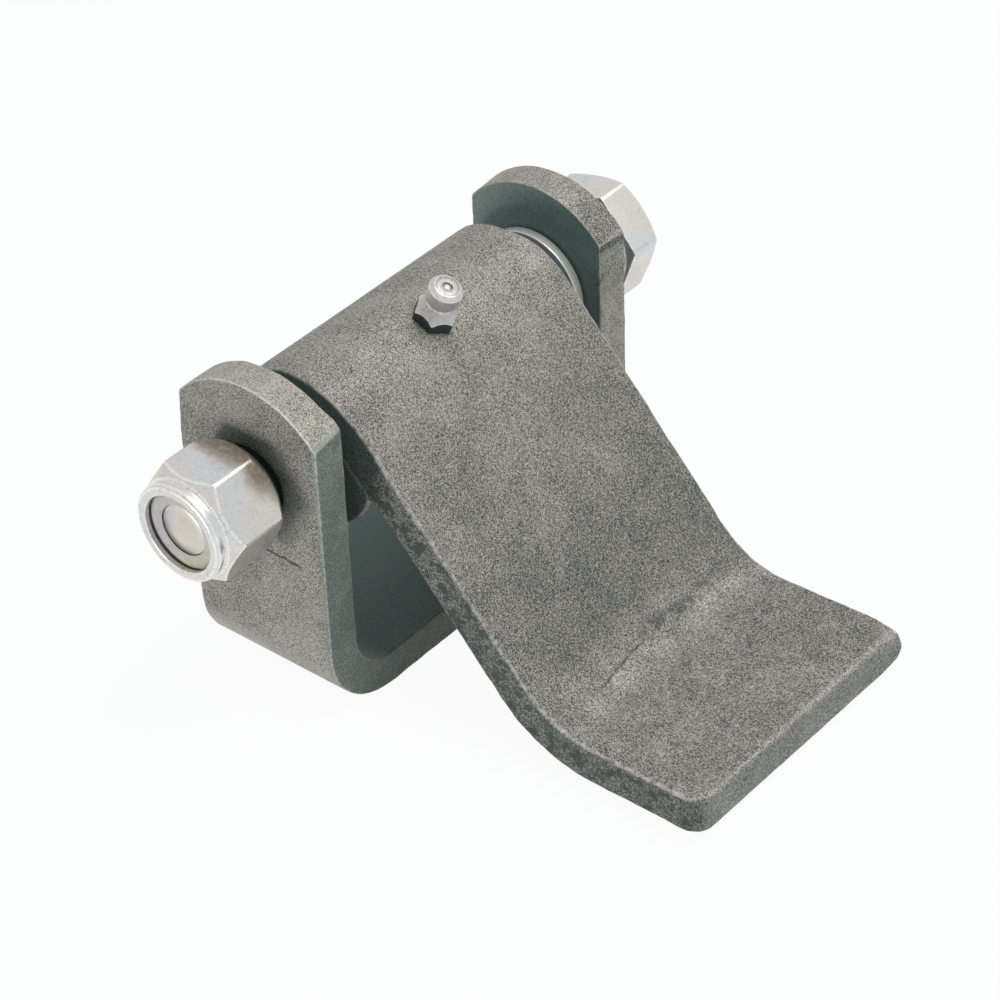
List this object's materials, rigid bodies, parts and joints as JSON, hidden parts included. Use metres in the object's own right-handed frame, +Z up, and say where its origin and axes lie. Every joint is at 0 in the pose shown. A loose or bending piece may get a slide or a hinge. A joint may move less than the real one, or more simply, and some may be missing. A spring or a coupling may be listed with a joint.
{
  "type": "weld-on strap hinge",
  "caption": "Heavy steel hinge: a rolled-eye strap with a cranked pad turns on a bolt between the ears of a U bracket, with a grease fitting and a lock nut.",
  "frame": {"origin": "centre of the bracket's flat underside, straight below the middle of the bolt", "axes": "+Z up from the bracket's underside, +Y along the bolt from the nut to the bolt's head, +X out along the strap to its pad"},
  "size_m": [0.1047, 0.1232, 0.0723],
  "materials": {
    "bracket_steel": "bare mill-finish bar, grey with fine dark specks, worn bright on its edges",
    "strap_steel": "bare mill-finish plate, grey with fine dark and light specks, a dark crease across the bend",
    "bushing_steel": "plain drawn steel sleeve, dull grey",
    "bolt_zinc": "zinc plated, pale satin silver",
    "nut_zinc": "zinc plated, satin silver, with a brownish stain on one flat",
    "nylon": "grey-lilac nylon, matt",
    "washer_zinc": "zinc plated, bright at the rim",
    "fitting_zinc": "zinc plated, smooth satin silver",
    "ball_steel": "polished bearing ball",
    "spring_steel": "plain spring wire"
  },
  "bodies": {
    "bracket": {"bracket": "bracket_steel", "hinge_bolt": "bolt_zinc", "lock_nut": "nut_zinc", "lock_nut_insert": "nylon", "near_washer": "washer_zinc", "far_washer": "washer_zinc"},
    "strap": {"strap": "strap_steel", "eye_bushing": "bushing_steel", "grease_fitting": "fitting_zinc", "fitting_spring": "spring_steel"},
    "check_ball": {"fitting_ball": "ball_steel"}
  },
  "joints": [
    {"name": "strap_hinge", "type": "hinge", "parent": "bracket", "child": "strap", "pos_m": [0, 0, 0.049], "axis": [0, -1, 0], "range_deg": [-30, 275]},
    {"name": "ball_slide", "type": "slide", "parent": "strap", "child": "check_ball", "axis": [-0.4226, 0, -0.9063], "range_m": [0, 0.001], "stiffness_N_per_m": 300, "springref_m": -0.002, "deforming": ["fitting_spring"]}
  ]
}
